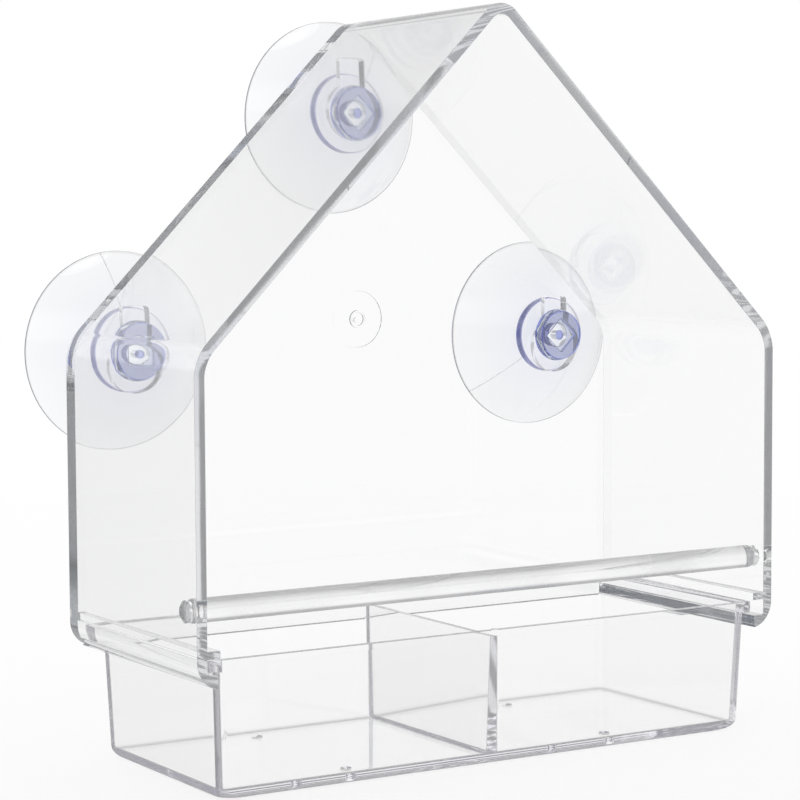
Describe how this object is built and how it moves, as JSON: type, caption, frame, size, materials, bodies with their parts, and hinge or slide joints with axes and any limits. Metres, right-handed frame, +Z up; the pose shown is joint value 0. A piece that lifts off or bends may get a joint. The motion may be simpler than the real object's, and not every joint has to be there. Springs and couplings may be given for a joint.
{
  "type": "window bird feeder",
  "caption": "Clear house-shaped window bird feeder with a sliding divided seed tray, a perch rod and suction cups hooked into keyholes in its back panel.",
  "frame": {"origin": "middle of the overall box from side to side and from front to back, on the plane that the seed tray stands on", "axes": "+X to the right seen from the front, +Y from the open front towards the window pane, +Z up along the walls to the ridge"},
  "size_m": [0.1584, 0.0742, 0.166],
  "materials": {
    "clear_shell": "clear polished polystyrene, water-white",
    "clear_tray": "clear polished polystyrene, faintly violet where thick",
    "clear_rod": "clear polished rod",
    "soft_vinyl": "soft clear vinyl with a violet-blue tint that deepens in the thick middle"
  },
  "bodies": {
    "house": {"house_shell": "clear_shell"},
    "tray": {"seed_tray": "clear_tray"},
    "perch": {"perch_rod": "clear_rod"},
    "cup_left": {"suction_cup_left": "soft_vinyl"},
    "cup_right": {"suction_cup_right": "soft_vinyl"},
    "cup_top": {"suction_cup_top": "soft_vinyl"}
  },
  "joints": [
    {"name": "tray_slide", "type": "slide", "parent": "house", "child": "tray", "axis": [0, -1, 0], "range_m": [-0.0021, 0.0565]},
    {"name": "perch_spin", "type": "hinge", "parent": "house", "child": "perch", "pos_m": [0, -0.03185, 0.0403], "axis": [1, 0, 0], "continuous": true},
    {"name": "cup_left_slide", "type": "slide", "parent": "house", "child": "cup_left", "axis": [0, 0, 1], "range_m": [-0.0062, 0.0064]},
    {"name": "cup_right_slide", "type": "slide", "parent": "house", "child": "cup_right", "axis": [0, 0, 1], "range_m": [-0.0062, 0.0064]},
    {"name": "cup_top_slide", "type": "slide", "parent": "house", "child": "cup_top", "axis": [0, 0, 1], "range_m": [-0.0031, 0.0095]}
  ]
}
